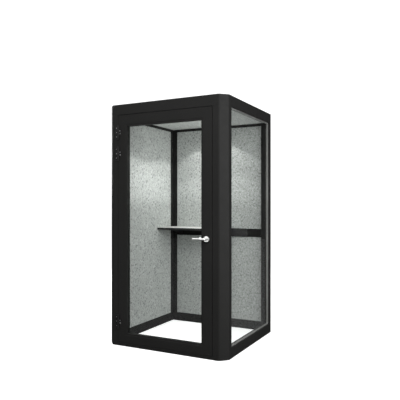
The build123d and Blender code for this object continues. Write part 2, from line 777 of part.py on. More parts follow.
def screw(x, z):
    face = plate_span[0]
    head = rod(screw_head_radius, (x, face - screw_head_height, z), (x, face, z))
    head = fillet(head.edges().filter_by(GeomType.CIRCLE).sort_by(Axis.Y)[0], screw_head_soft)
    head -= block(centred(x, screw_slot), (face - screw_head_height - over, face - screw_head_height / 2),
                  centred(z, 2 * screw_head_radius))
    return head + rod(screw_radius, (x, face, z), (x, face + screw_length, z))


# ---- desk and power box ----------------------------------------------------------------------
def build_desk():
    face = in_rear - rail_proud
    x = (in_left + felt_gap, in_left + desk_width)
    board = block(x, (face - desk_depth, face), (desk_top_z - desk_thick, desk_top_z))
    board = fillet(board.faces().sort_by(Axis.Z)[-1].edges(), desk_edge_soft)
    nodes["desk_top"] = board
    brackets = []
    z = desk_top_z - desk_thick
    for middle in (x[0] + bracket_inset, x[1] - bracket_inset):
        arm = block(centred(middle, bracket_width), (face - bracket_reach, face), (z - bracket_thick, z))
        leg = block(centred(middle, bracket_width), (face - bracket_thick, face), (z - bracket_drop, z))
        rib = Polyline((face - bracket_thick, z - bracket_thick),
                       (face - bracket_thick, z - bracket_drop),
                       (face - bracket_reach * bracket_web_share, z - bracket_thick), close=True)
        web = extrude(Plane.YZ.offset(middle - bracket_thick / 2) * make_face(rib), bracket_thick)
        brackets.append((arm + leg + web).solid())
    nodes["desk_brackets"] = Compound(children=brackets)
    build_power_box(x[1] + box_gap, face)


def build_power_box(x0, face):
    z0 = box_bottom
    y = (face - box_size[1], face)
    box = block((x0, x0 + box_size[0]), y, (z0, z0 + box_size[2]))
    box = fillet(box.edges().filter_by(Axis.Y), box_corner)
    box = fillet(box.faces().sort_by(Axis.Y)[0].edges(), box_edge_soft)
    mid_z = z0 + box_size[2] / 2
    outlets = []
    for along in outlet_centres:
        x = x0 + along
        sides = [side - 2 * outlet_fit for side in outlet_size]
        box -= block(centred(x, outlet_size[0]), (y[0] - over, y[0] + outlet_depth),
                     centred(mid_z, outlet_size[1]))
        insert = block(centred(x, sides[0]), (y[0] + outlet_recess, y[0] + outlet_depth),
                       centred(mid_z, sides[1]))
        hole_y = (y[0], y[0] + outlet_slot_depth)
        for step in (-1, 1):
            insert -= block(centred(x + step * outlet_slot_apart / 2, outlet_slot[0]), hole_y,
                            centred(mid_z + outlet_slot_rise, outlet_slot[1]))
        earth_z = mid_z - outlet_earth_drop
        insert -= rod(outlet_earth_radius, (x, hole_y[0], earth_z), (x, hole_y[1], earth_z))
        outlets.append(insert.solid())
    for name, along in zip(("lamp", "fan"), rocker_centres):
        x, pivot_y = x0 + along, y[0] + rocker_half_depth
        box -= block(centred(x, rocker_size[0] + 2 * rocker_side_clear),
                     (y[0] - over, y[1] - rocker_box_wall),
                     centred(mid_z, rocker_size[1] + 2 * rocker_clear))
        hole = rocker_size[0] / 2 + rocker_pin_length + rocker_pin_gap
        box -= rod(rocker_pin_radius + running_fit, (x - hole, pivot_y, mid_z), (x + hole, pivot_y, mid_z))
        nodes[f"rocker_{name}"] = rocker(x, pivot_y, mid_z)
    nodes["power_box"] = box
    nodes["outlets"] = Compound(children=outlets)


def rocker(x, y, z):
    """Rocker with a dished face into the cabin, at rest pressed in at the bottom."""
    half_x, half_z = rocker_size[0] / 2, rocker_size[1] / 2
    face, rear_z = -rocker_half_depth, half_z * rocker_back_share
    outline = Polyline((face, half_z), (face + rocker_dish, 0), (face, -half_z),
                       (rocker_back, -rear_z), (rocker_back, rear_z), close=True)
    body = extrude(Plane.YZ.offset(-half_x) * make_face(outline), rocker_size[0])
    pins = half_x + rocker_pin_length
    body += rod(rocker_pin_radius, (-pins, 0, 0), (pins, 0, 0))
    return Pos(x, y, z) * (Rot(X=rocker_rest_tilt) * body)


build_base()
build_sills()
build_posts()
build_crown()
build_jambs()
build_door_seal()
build_walls()
build_roof()
build_glass_side()
build_leaf()
build_lock()
build_handle()
build_hinges()
build_desk()

os.makedirs("parts", exist_ok=True)
for name, shape in nodes.items():
    export_step(shape, f"parts/{name}.step")
print(len(nodes), "nodes")
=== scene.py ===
import math
import bmesh
import bpy
from mathutils import Matrix, Vector, noise


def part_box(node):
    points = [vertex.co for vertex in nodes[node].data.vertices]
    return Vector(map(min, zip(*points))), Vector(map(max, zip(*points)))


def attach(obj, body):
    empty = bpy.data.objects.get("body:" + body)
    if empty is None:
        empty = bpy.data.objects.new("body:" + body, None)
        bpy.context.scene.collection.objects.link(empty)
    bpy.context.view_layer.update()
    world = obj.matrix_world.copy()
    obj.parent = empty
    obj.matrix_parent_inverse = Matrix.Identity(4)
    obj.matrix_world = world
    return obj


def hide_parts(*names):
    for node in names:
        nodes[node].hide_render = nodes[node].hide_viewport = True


# a telephone booth's looks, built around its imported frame, in metres with Z up

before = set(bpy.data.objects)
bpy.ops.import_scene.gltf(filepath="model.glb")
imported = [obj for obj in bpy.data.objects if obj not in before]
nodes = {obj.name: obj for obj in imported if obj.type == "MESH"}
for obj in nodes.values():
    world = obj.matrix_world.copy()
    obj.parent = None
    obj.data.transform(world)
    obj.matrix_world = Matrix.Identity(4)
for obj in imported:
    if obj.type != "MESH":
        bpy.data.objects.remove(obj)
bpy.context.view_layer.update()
print("stage: frame loaded,", len(nodes), "nodes")

colourSocket, valueSocket, vectorSocket = "NodeSocketColor", "NodeSocketFloat", "NodeSocketVector"
noiseSpan = (0.3, 0.7)  # a noise mostly stays between these


def setInputs(node, values):
    for key, value in values.items():
        node.inputs[key].default_value = value


def addNode(tree, kind, inputs=None, **settings):
    node = tree.nodes.new(kind)
    for key, value in settings.items():
        setattr(node, key, value)
    setInputs(node, inputs or {})
    return node


def join(tree, source, target):
    tree.links.new(source, target)


def mathNode(tree, operation, a, b, clamp=False):
    node = addNode(tree, "ShaderNodeMath", operation=operation, use_clamp=clamp)
    for socket, value in zip(node.inputs, (a, b)):
        if isinstance(value, (int, float)):
            socket.default_value = value
        else:
            join(tree, value, socket)
    return node.outputs[0]


def mixColour(tree, factor, a, b):
    node = addNode(tree, "ShaderNodeMix", data_type="RGBA")
    for socket, value in ((node.inputs[0], factor), (node.inputs[6], a), (node.inputs[7], b)):
        if isinstance(value, tuple):
            socket.default_value = (*value, 1)
        else:
            join(tree, value, socket)
    return node.outputs[2]


def remap(tree, source, given, wanted=(0.0, 1.0)):
    # carries one range over to another and holds at its ends
    node = addNode(tree, "ShaderNodeMapRange", {1: given[0], 2: given[1], 3: wanted[0], 4: wanted[1]})
    join(tree, source, node.inputs[0])
    return node.outputs[0]


def newGroup(name, inputs, outputs):
    tree = bpy.data.node_groups.new(name, "ShaderNodeTree")
    for direction, sockets in (("INPUT", inputs), ("OUTPUT", outputs)):
        for label, kind, *value in sockets:
            socket = tree.interface.new_socket(name=label, in_out=direction, socket_type=kind)
            if value:
                socket.default_value = value[0]
    return tree, tree.nodes.new("NodeGroupInput").outputs, tree.nodes.new("NodeGroupOutput").inputs


def placeGroup(tree, group, values=None):
    node = addNode(tree, "ShaderNodeGroup", node_tree=group)
    setInputs(node, values or {})
    return node


def objectPlace(tree):
    return tree.nodes.new("ShaderNodeTexCoord").outputs["Object"]


def objectNoise(tree, scale, detail=2.0, roughness=0.5, stretch=None):
    place = objectPlace(tree)
    if stretch:
        mapping = addNode(tree, "ShaderNodeMapping", {"Scale": stretch})
        join(tree, place, mapping.inputs["Vector"])
        place = mapping.outputs[0]
    node = addNode(tree, "ShaderNodeTexNoise", {"Detail": detail, "Roughness": roughness})
    join(tree, place, node.inputs["Vector"])
    if isinstance(scale, (int, float)):
        node.inputs["Scale"].default_value = scale
    else:
        join(tree, scale, node.inputs["Scale"])
    return node.outputs["Fac"]


def addBump(tree, height, distance, strength, normal=None):
    bump = addNode(tree, "ShaderNodeBump", {"Distance": distance})
    if isinstance(strength, (int, float)):
        bump.inputs["Strength"].default_value = strength
    else:
        join(tree, strength, bump.inputs["Strength"])
    join(tree, height, bump.inputs["Height"])
    if normal:
        join(tree, normal, bump.inputs["Normal"])
    return bump.outputs[0]


def newMaterial(name, **values):
    material = bpy.data.materials.new(name)
    material.use_nodes = True
    tree = material.node_tree
    shader = tree.nodes["Principled BSDF"]
    setInputs(shader, values)
    return material, tree, shader


def dress(material, *names):
    for name in names:
        for place in nodes[name].material_slots:
            place.material = material


def placeObject(name, data):
    thing = bpy.data.objects.new(name, data)
    bpy.context.scene.collection.objects.link(thing)
    return thing


# effects that several finishes share
arris = {"radius": 0.0012, "samples": 6, "turn": (0.995, 0.80)}


def edgeSoftGroup():
    # rounds every arris in the shading and says how near an arris each point is
    tree, given, out = newGroup("edgeSoft", [("Radius", valueSocket, arris["radius"])],
                                [("Normal", vectorSocket), ("Edge", valueSocket)])
    bevel = addNode(tree, "ShaderNodeBevel", samples=arris["samples"])
    join(tree, given["Radius"], bevel.inputs["Radius"])
    flat = tree.nodes.new("ShaderNodeNewGeometry").outputs["Normal"]
    dot = addNode(tree, "ShaderNodeVectorMath", operation="DOT_PRODUCT")
    join(tree, bevel.outputs[0], dot.inputs[0])
    join(tree, flat, dot.inputs[1])
    join(tree, bevel.outputs[0], out["Normal"])
    join(tree, remap(tree, dot.outputs["Value"], arris["turn"]), out["Edge"])
    return tree


coatPattern = {"cloudScale": 2.6, "clouds": (0.93, 1.07), "speckSpan": (0.25, 0.75), "specks": (0.88, 1.12),
               "patchScale": 38.0, "patchSpan": (0.46, 0.62), "markScale": 14.0, "marks": (-0.05, 0.06),
               "peelDepth": 0.00012}


def powderCoatGroup(edgeSoft):
    # fine orange-peel texture, faint cloudiness and handling marks, lighter rubbed arrises
    tree, given, out = newGroup(
        "powderCoat",
        [("Tone", colourSocket, (0.02, 0.02, 0.02, 1)), ("Rubbed", colourSocket, (0.06, 0.06, 0.06, 1)),
         ("Wear", valueSocket, 0.35), ("Roughness", valueSocket, 0.5), ("Grain", valueSocket, 900.0),
         ("Depth", valueSocket, 0.25)],
        [("Colour", colourSocket), ("Roughness", valueSocket), ("Normal", vectorSocket)])
    cloud = remap(tree, objectNoise(tree, coatPattern["cloudScale"], 4.0), noiseSpan, coatPattern["clouds"])
    grain = objectNoise(tree, given["Grain"], 1.0)
    speck = remap(tree, grain, coatPattern["speckSpan"], coatPattern["specks"])
    shade = addNode(tree, "ShaderNodeVectorMath", operation="SCALE")
    join(tree, given["Tone"], shade.inputs[0])
    join(tree, mathNode(tree, "MULTIPLY", cloud, speck), shade.inputs["Scale"])
    soft = placeGroup(tree, edgeSoft)
    patches = remap(tree, objectNoise(tree, coatPattern["patchScale"], 3.0), coatPattern["patchSpan"])
    bare = mathNode(tree, "MULTIPLY", soft.outputs["Edge"], patches)
    worn = mathNode(tree, "MULTIPLY", bare, given["Wear"])
    join(tree, mixColour(tree, worn, shade.outputs[0], given["Rubbed"]), out["Colour"])
    handled = objectNoise(tree, coatPattern["markScale"], 5.0, 0.6)
    marks = remap(tree, handled, noiseSpan, coatPattern["marks"])
    join(tree, mathNode(tree, "ADD", given["Roughness"], marks, True), out["Roughness"])
    peel = objectNoise(tree, given["Grain"], 2.0)
    join(tree, addBump(tree, peel, coatPattern["peelDepth"], given["Depth"], soft.outputs["Normal"]),
         out["Normal"])
    return tree


scratches = {"scale": 60.0, "tint": (0.9, 1.05), "uneven": (-0.06, 0.1), "smudgeScale": 55.0,
             "smudgeSpan": (0.45, 0.7), "smudges": (0.0, 0.12), "depth": 0.00005, "arris": 0.0006}


def brushedGroup(edgeSoft):
    # long fine scratches along one axis, with faint smudges
    tree, given, out = newGroup(
        "brushed",
        [("Roughness", valueSocket, 0.25), ("Along", vectorSocket, (1.0, 60.0, 60.0)),
         ("Depth", valueSocket, 0.2)],
        [("Tint", valueSocket), ("Roughness", valueSocket), ("Normal", vectorSocket)])
    mapping = tree.nodes.new("ShaderNodeMapping")
    join(tree, objectPlace(tree), mapping.inputs["Vector"])
    join(tree, given["Along"], mapping.inputs["Scale"])
    noiseNode = addNode(tree, "ShaderNodeTexNoise", {"Scale": scratches["scale"], "Detail": 3.0})
    join(tree, mapping.outputs[0], noiseNode.inputs["Vector"])
    lines = noiseNode.outputs["Fac"]
    smudge = objectNoise(tree, scratches["smudgeScale"], 3.0)
    join(tree, remap(tree, lines, noiseSpan, scratches["tint"]), out["Tint"])
    rough = mathNode(tree, "ADD", given["Roughness"], remap(tree, lines, noiseSpan, scratches["uneven"]))
    greasy = remap(tree, smudge, scratches["smudgeSpan"], scratches["smudges"])
    join(tree, mathNode(tree, "ADD", rough, greasy, True), out["Roughness"])
    soft = placeGroup(tree, edgeSoft, {"Radius": scratches["arris"]})
    relief = addBump(tree, lines, scratches["depth"], given["Depth"], soft.outputs["Normal"])
    join(tree, relief, out["Normal"])
    return tree


fibrePattern = {"bendScale": 30.0, "bend": (0.02, 0.02, 0.02), "upright": (1.0, 1.0, 0.22),
                "level": (0.22, 0.22, 1.0), "tuft": (1.0, 1.0, 0.8), "fleck": (1.0, 0.9, 0.8),
                "fleckToTuft": 1.15, "darkSpan": (0.535, 0.60), "lightSpan": (0.47, 0.39),
                "groundShade": 0.22, "clumpScale": 9.0, "clumpShade": 0.10, "hairHeight": 0.7,
                "tuftHeight": 0.5}


def feltGroup():
    # pressed melange fibres: pale ground, darker and lighter tufts, matted hair-like relief
    tree, given, out = newGroup(
        "feltFibres",
        [("Ground", colourSocket, (0.4, 0.42, 0.4, 1)), ("Dark", colourSocket, (0.15, 0.16, 0.15, 1)),
         ("Light", colourSocket, (0.6, 0.62, 0.6, 1)), ("Fibre", valueSocket, 420.0),
         ("Tuft", valueSocket, 60.0)],
        [("Colour", colourSocket), ("Height", valueSocket)])
    place = objectPlace(tree)
    bend = addNode(tree, "ShaderNodeTexNoise", {"Scale": fibrePattern["bendScale"], "Detail": 2.0})
    join(tree, place, bend.inputs["Vector"])
    warp = addNode(tree, "ShaderNodeVectorMath", {1: fibrePattern["bend"]}, operation="MULTIPLY_ADD")
    join(tree, bend.outputs["Color"], warp.inputs[0])
    join(tree, place, warp.inputs[2])

    def fibres(stretch, scale):
        mapping = addNode(tree, "ShaderNodeMapping", {"Scale": stretch})
        join(tree, warp.outputs[0], mapping.inputs["Vector"])
        node = addNode(tree, "ShaderNodeTexNoise", {"Detail": 3.0, "Roughness": 0.6})
        join(tree, mapping.outputs[0], node.inputs["Vector"])
        join(tree, scale, node.inputs["Scale"])
        return node.outputs["Fac"]

    hairs = mathNode(tree, "MAXIMUM", fibres(fibrePattern["upright"], given["Fibre"]),
                     fibres(fibrePattern["level"], given["Fibre"]))
    tufts = fibres(fibrePattern["tuft"], given["Tuft"])
    clumps = objectNoise(tree, fibrePattern["clumpScale"], 3.0)
    fleckScale = mathNode(tree, "MULTIPLY", given["Tuft"], fibrePattern["fleckToTuft"])
    flecks = fibres(fibrePattern["fleck"], fleckScale)
    darkMask = mathNode(tree, "MULTIPLY", remap(tree, flecks, fibrePattern["darkSpan"]),
                        remap(tree, hairs, (0.40, 0.56), (0.6, 1.0)))
    lightMask = mathNode(tree, "MULTIPLY", remap(tree, tufts, fibrePattern["lightSpan"]),
                         remap(tree, hairs, (0.5, 0.62), (0.55, 1.0)))
    shading = remap(tree, hairs, (0.45, 0.68), (0.0, fibrePattern["groundShade"]))
    shade = mixColour(tree, shading, given["Ground"], given["Dark"])
    shade = mixColour(tree, darkMask, shade, given["Dark"])
    shade = mixColour(tree, lightMask, shade, given["Light"])
    clouding = remap(tree, clumps, (0.35, 0.65), (0.0, fibrePattern["clumpShade"]))
    join(tree, mixColour(tree, clouding, shade, given["Dark"]), out["Colour"])
    join(tree, mathNode(tree, "ADD", mathNode(tree, "MULTIPLY", hairs, fibrePattern["hairHeight"]),
                        mathNode(tree, "MULTIPLY", tufts, fibrePattern["tuftHeight"])), out["Height"])
    return tree


edgeSoft = edgeSoftGroup()
powderCoat = powderCoatGroup(edgeSoft)
brushed = brushedGroup(edgeSoft)
feltFibres = feltGroup()


# coated metal and moulded plastic
def coatedMaterial(name, values, specular=0.16):
    material, tree, shader = newMaterial(name, **{"Specular IOR Level": specular})
    group = placeGroup(tree, powderCoat, values)
    join(tree, group.outputs["Colour"], shader.inputs["Base Color"])
    join(tree, group.outputs["Roughness"], shader.inputs["Roughness"])
    join(tree, group.outputs["Normal"], shader.inputs["Normal"])
    return material


graphite = {"Tone": (0.0135, 0.0135, 0.0130, 1), "Rubbed": (0.045, 0.045, 0.044, 1), "Wear": 0.4,
            "Roughness": 0.55, "Grain": 900.0, "Depth": 0.12}
blackCoat = {**graphite, "Tone": (0.006, 0.006, 0.006, 1), "Rubbed": (0.05, 0.05, 0.05, 1)}
mouldedBlack = {**graphite, "Tone": (0.0035, 0.0035, 0.0038, 1), "Wear": 0.15, "Roughness": 0.42,
                "Grain": 1500.0, "Depth": 0.15}
whiteEnamel = {**graphite, "Tone": (0.78, 0.78, 0.76, 1), "Rubbed": (0.6, 0.6, 0.58, 1), "Wear": 0.2,
               "Roughness": 0.35, "Grain": 500.0, "Depth": 0.1}
channelGrey = {**graphite, "Tone": (0.17, 0.17, 0.165, 1), "Rubbed": (0.42, 0.42, 0.42, 1), "Wear": 0.5,
               "Roughness": 0.38, "Grain": 1200.0, "Depth": 0.1}

framePaint = coatedMaterial("graphitePowderCoat", graphite)
doorPaint = coatedMaterial("doorPowderCoat", {**graphite, "Tone": (0.0130, 0.0130, 0.0124, 1)})
railPaint = coatedMaterial("railPowderCoat", {**graphite, "Tone": (0.0055, 0.0055, 0.0053, 1)}, 0.10)
hoodPaint = coatedMaterial("hoodPowderCoat", {**graphite, "Tone": (0.018, 0.018, 0.019, 1)})
hingePaint = coatedMaterial("hingeBlack", blackCoat, 0.4)
plasticBlack = coatedMaterial("mouldedBlackPlastic", mouldedBlack, 0.45)
enamel = coatedMaterial("whiteEnamel", whiteEnamel, 0.5)
channelCoat = coatedMaterial("greyGlazingChannel", channelGrey, 0.5)


# bare metal: how its scratches run is the stretch of their noise along X, Y and Z
def metalMaterial(name, tone, along, roughness):
    material, tree, shader = newMaterial(name, Metallic=1.0)
    group = placeGroup(tree, brushed, {"Along": along, "Roughness": roughness})
    shade = addNode(tree, "ShaderNodeVectorMath", {0: tone}, operation="SCALE")
    join(tree, group.outputs["Tint"], shade.inputs["Scale"])
    join(tree, shade.outputs[0], shader.inputs["Base Color"])
    join(tree, group.outputs["Roughness"], shader.inputs["Roughness"])
    join(tree, group.outputs["Normal"], shader.inputs["Normal"])
    return material


satinSteel = metalMaterial("satinSteel", (0.90, 0.90, 0.89), (1.0, 60.0, 60.0), 0.36)
turnedSteel = metalMaterial("turnedSteel", (0.88, 0.88, 0.87), (40.0, 4.0, 40.0), 0.30)
lockSteel = metalMaterial("platedLockSteel", (0.60, 0.60, 0.59), (60.0, 60.0, 1.0), 0.30)
screwSteel = metalMaterial("zincPlatedScrew", (0.74, 0.75, 0.76), (30.0, 30.0, 30.0), 0.28)

pane = {"tint": (0.955, 0.967, 0.960), "ior": 1.45, "smearScale": 5.0, "smearSpan": (0.5, 0.8),
        "smears": (0.0, 0.035)}


def glassMaterial(name):
    # clear pane: a shader that bends and mirrors, let through unbent for lamp and bounced light
    tint = (*pane["tint"], 1)
    material, tree, shader = newMaterial(
        name, **{"Transmission Weight": 1.0, "IOR": pane["ior"], "Base Color": tint})
    smear = objectNoise(tree, pane["smearScale"], 5.0, 0.6)
    join(tree, remap(tree, smear, pane["smearSpan"], pane["smears"]), shader.inputs["Roughness"])
    clear = addNode(tree, "ShaderNodeBsdfTransparent", {"Color": tint})
    paths = tree.nodes.new("ShaderNodeLightPath").outputs
    through = mathNode(tree, "MAXIMUM", paths["Is Shadow Ray"], paths["Is Diffuse Ray"])
    both = tree.nodes.new("ShaderNodeMixShader")
    join(tree, through, both.inputs[0])
    join(tree, shader.outputs[0], both.inputs[1])
    join(tree, clear.outputs[0], both.inputs[2])
    join(tree, both.outputs[0], tree.nodes["Material Output"].inputs["Surface"])
    return material


clearGlass = glassMaterial("clearGlass")

greyWool = {"Ground": (0.465, 0.482, 0.468, 1), "Dark": (0.20, 0.208, 0.202, 1),
            "Light": (0.61, 0.63, 0.614, 1)}
yellowWool = {"Ground": (0.36, 0.33, 0.24, 1), "Dark": (0.2, 0.17, 0.1, 1), "Light": (0.5, 0.47, 0.36, 1),
              "Fibre": 260.0}
feltRelief = {"strength": 0.7, "distance": 0.0012}


def feltMaterial(name, values):
    material, tree, shader = newMaterial(
        name, **{"Roughness": 0.95, "Specular IOR Level": 0.15, "Sheen Weight": 0.25,
                 "Sheen Roughness": 0.6, "Sheen Tint": (0.8, 0.82, 0.8, 1)})
    group = placeGroup(tree, feltFibres, values)
    join(tree, group.outputs["Colour"], shader.inputs["Base Color"])
    relief = addBump(tree, group.outputs["Height"], feltRelief["distance"], feltRelief["strength"])
    join(tree, relief, shader.inputs["Normal"])
    return material


wallFelt = feltMaterial("greyFelt", greyWool)
mineralWool = feltMaterial("mineralWool", yellowWool)

rubber = {"bloomScale": 60.0, "bloomSpan": (0.4, 0.7), "bloom": (0.0, 0.5), "paler": 2.2,
          "roughness": (0.55, 0.75), "grain": 800.0, "strength": 0.3, "distance": 0.0002}


def rubberMaterial(name, tone):
    material, tree, shader = newMaterial(name, **{"Specular IOR Level": 0.35})
    bloom = objectNoise(tree, rubber["bloomScale"], 4.0)
    bloomed = tuple(rubber["paler"] * part for part in tone)
    shade = mixColour(tree, remap(tree, bloom, rubber["bloomSpan"], rubber["bloom"]), tone, bloomed)
    join(tree, shade, shader.inputs["Base Color"])
    join(tree, remap(tree, bloom, noiseSpan, rubber["roughness"]), shader.inputs["Roughness"])
    grain = objectNoise(tree, rubber["grain"])
    join(tree, addBump(tree, grain, rubber["distance"], rubber["strength"]), shader.inputs["Normal"])
    return material


sealRubber = rubberMaterial("sealRubber", (0.010, 0.010, 0.010))
footRubber = rubberMaterial("footRubber", (0.016, 0.016, 0.017))

desk = {"pale": (0.80, 0.80, 0.78), "fleck": (0.68, 0.68, 0.66), "band": (0.016, 0.016, 0.016),
        "bandBelow": 0.0016, "bandFade": 0.0004, "grainScale": 26.0, "grainRun": (1.0, 14.0, 14.0),
        "grainSpan": (0.4, 0.72), "flecks": (0.0, 0.6), "wipeScale": 12.0, "roughness": (0.34, 0.46),
        "strength": 0.12, "distance": 0.0001, "arris": 0.0008}


def deskMaterial(name):
    # pale laminate face, coloured dark on the edges and underside below the top face
    material, tree, shader = newMaterial(name, **{"Specular IOR Level": 0.4})
    grain = objectNoise(tree, desk["grainScale"], 5.0, 0.6, stretch=desk["grainRun"])
    flecked = remap(tree, grain, desk["grainSpan"], desk["flecks"])
    face = mixColour(tree, flecked, desk["pale"], desk["fleck"])
    parts = tree.nodes.new("ShaderNodeSeparateXYZ")
    join(tree, objectPlace(tree), parts.inputs[0])
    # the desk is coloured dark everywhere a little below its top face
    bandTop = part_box("desk_top")[1].z - desk["bandBelow"]
    onFace = remap(tree, parts.outputs["Z"], (bandTop, bandTop + desk["bandFade"]))
    join(tree, mixColour(tree, onFace, desk["band"], face), shader.inputs["Base Color"])
    wiped = remap(tree, objectNoise(tree, desk["wipeScale"], 4.0), noiseSpan, desk["roughness"])
    join(tree, wiped, shader.inputs["Roughness"])
    soft = placeGroup(tree, edgeSoft, {"Radius": desk["arris"]})
    relief = addBump(tree, grain, desk["distance"], desk["strength"], soft.outputs["Normal"])
    join(tree, relief, shader.inputs["Normal"])
    return material


deskLaminate = deskMaterial("deskLaminate")

opalCover = {"glow": 2.5, "glowTone": (1.0, 0.985, 0.95, 1), "hazeScale": 40.0, "thin": (0.86, 0.86, 0.83),
             "thick": (0.93, 0.93, 0.90), "grain": 600.0, "strength": 0.2, "distance": 0.0002}


def diffuserMaterial(name):
    material, tree, shader = newMaterial(
        name, **{"Roughness": 0.5, "Emission Strength": opalCover["glow"],
                 "Emission Color": opalCover["glowTone"]})
    haze = remap(tree, objectNoise(tree, opalCover["hazeScale"], 3.0), noiseSpan)
    join(tree, mixColour(tree, haze, opalCover["thin"], opalCover["thick"]), shader.inputs["Base Color"])
    grain = objectNoise(tree, opalCover["grain"])
    join(tree, addBump(tree, grain, opalCover["distance"], opalCover["strength"]), shader.inputs["Normal"])
    return material


opal = diffuserMaterial("opalDiffuser")

dress(framePaint, "base_front", "base_rear", "base_left", "base_right", "sill_rails", "post_front_left",
      "post_front_right", "post_rear_left", "post_rear_right", "crown_front", "crown_rear", "crown_left",
      "crown_right", "jamb_hinge", "jamb_strike", "panel_left", "panel_rear", "roof_panel")
dress(railPaint, "desk_rail")
dress(doorPaint, "door_stile_hinge", "door_stile_lock", "door_rail_top", "door_rail_bottom",
      "glazing_beads")
dress(hoodPaint, "roof_hoods", "ceiling_vents")
dress(hingePaint, "hinge_frame_plates", "hinge_door_plates", "hinge_pins", "desk_brackets")
dress(plasticBlack, "power_box", "outlets", "rocker_lamp", "rocker_fan", "fan_frame", "fan_rotor",
      "mains_inlet")
dress(enamel, "lamp_cans", "led_boards")
dress(channelCoat, "glazing_channel")
dress(clearGlass, "door_glass", "side_glass")
dress(satinSteel, "lever_outer", "lever_inner")
dress(turnedSteel, "roses")
dress(lockSteel, "strike_plate", "lock_case", "latch_bolt", "spindle")
dress(screwSteel, "hinge_frame_screws", "hinge_door_screws")
dress(footRubber, "levelling_feet")
dress(deskLaminate, "desk_top")
dress(opal, "lamp_diffusers")
dress(mineralWool, "acoustic_cores")
print("stage: finishes placed")


# pieces that stand for plain CAD solids: the felt boards and the door's seal
def finishPiece(mesh, name, material, body, stands):
    bmesh.ops.remove_doubles(mesh, verts=mesh.verts, dist=1e-6)
    bmesh.ops.recalc_face_normals(mesh, faces=mesh.faces)
    data = bpy.data.meshes.new(name)
    mesh.to_mesh(data)
    mesh.free()
    piece = placeObject(name, data)
    data.materials.append(material)
    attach(piece, body)
    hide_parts(*stands)
    return piece


def slab(low, high):
    mesh = bmesh.new()
    bmesh.ops.create_cube(mesh, size=1.0)
    bmesh.ops.scale(mesh, vec=high - low, verts=mesh.verts)
    bmesh.ops.translate(mesh, vec=(low + high) / 2, verts=mesh.verts)
    return mesh


def sliceEvenly(mesh, axis, low, high, pitch):
    # cuts right through the piece at an even pitch, across one axis
    normal = Vector([float(i == axis) for i in range(3)])
    count = max(1, round((high - low) / pitch))
    for step in range(1, count):
        bmesh.ops.bisect_plane(mesh, geom=mesh.verts[:] + mesh.edges[:] + mesh.faces[:],
                               plane_co=normal * (low + (high - low) * step / count), plane_no=normal)


def rollEdges(mesh, edges, radius, segments):
    bmesh.ops.bevel(mesh, geom=edges, offset=radius, segments=segments, affect="EDGES", profile=0.5,
                    material=-1)


def roundedSlab(low, high, axis, side, shape):
    # a slab with rolled edges round its face into the cabin, and where that face lies
    mesh = slab(low, high)
    face = (low, high)[side > 0][axis]
    edges = [e for e in mesh.edges if all(abs(v.co[axis] - face) < 1e-6 for v in e.verts)]
    rollEdges(mesh, edges, shape["edge"], shape["segments"])
    return mesh, face


# "side" is 1 where the cabin lies towards the higher end of the axis, and -1 towards the lower
feltBoard = {"edge": 0.0035, "segments": 4, "pitch": 0.030, "swell": 0.0009, "wave": 7.0,
             "edgeToFlat": 1.5, "fade": 0.05}
edgeTrim = {"height": 0.015, "gap": 0.0002, "edge": 0.0015, "segments": 3}
belowTrim = edgeTrim["height"] + edgeTrim["gap"]


def makeFeltBoard(node, axis, side, drop=0.0):
    # a pressed board with a slightly uneven, matted face
    low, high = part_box(node)
    high.z -= drop
    mesh, face = roundedSlab(low, high, axis, side, feltBoard)
    for across in range(3):
        if across != axis:
            sliceEvenly(mesh, across, low[across], high[across], feltBoard["pitch"])
    inner = feltBoard["edge"] * feltBoard["edgeToFlat"]
    for vert in mesh.verts:
        if abs(vert.co[axis] - face) > 1e-5:
            continue
        margin = min(min(vert.co[k] - low[k], high[k] - vert.co[k]) for k in range(3) if k != axis)
        fade = min(1.0, max(0.0, (margin - inner) / feltBoard["fade"]))
        dent = 0.5 + 0.5 * noise.noise(vert.co * feltBoard["wave"])
        vert.co[axis] -= side * feltBoard["swell"] * dent * fade
    return mesh


for node, axis, side, drop in (("felt_left", 0, 1, belowTrim), ("felt_rear_lower", 1, -1, 0.0),
                               ("felt_rear_upper", 1, -1, belowTrim)):
    board = makeFeltBoard(node, axis, side, drop)
    finishPiece(board, node + "_board", wallFelt, "frame", [node])


def makeEdgeTrim(node, axis, side):
    # a dark strip that holds the top of a wall board and hides its cut end
    low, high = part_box(node)
    return roundedSlab(Vector((low.x, low.y, high.z - edgeTrim["height"])), high, axis, side, edgeTrim)[0]


for node, axis, side in (("felt_left", 0, 1), ("felt_rear_upper", 1, -1)):
    finishPiece(makeEdgeTrim(node, axis, side), node + "_trim", framePaint, "frame", [node])


def halfBoxes(node):
    # the boxes of a pair of parts held in one node, which stand apart along its longer side
    points = [v.co for v in nodes[node].data.vertices]
    low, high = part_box(node)
    axis = 0 if high.x - low.x > high.y - low.y else 1
    middle = (low[axis] + high[axis]) / 2
    groups = [[p for p in points if p[axis] < middle], [p for p in points if p[axis] >= middle]]
    return [(Vector(map(min, *group)), Vector(map(max, *group))) for group in groups]


def carve(piece, tool):
    # takes the tool's shape out of the piece, for good
    data = bpy.data.meshes.new("tool")
    tool.to_mesh(data)
    tool.free()
    cutter = placeObject("tool", data)
    cut = piece.modifiers.new("cut", "BOOLEAN")
    cut.operation, cut.object, cut.solver = "DIFFERENCE", cutter, "EXACT"
    bpy.context.view_layer.update()
    solved = piece.evaluated_get(bpy.context.evaluated_depsgraph_get())
    mesh = bpy.data.meshes.new_from_object(solved)
    piece.modifiers.clear()
    piece.data = mesh
    bpy.data.objects.remove(cutter)


ceilingCut = {"lampTrim": 0.007, "lampDepth": 0.06, "lampSides": 48, "ductHalf": 0.061, "past": 0.01}


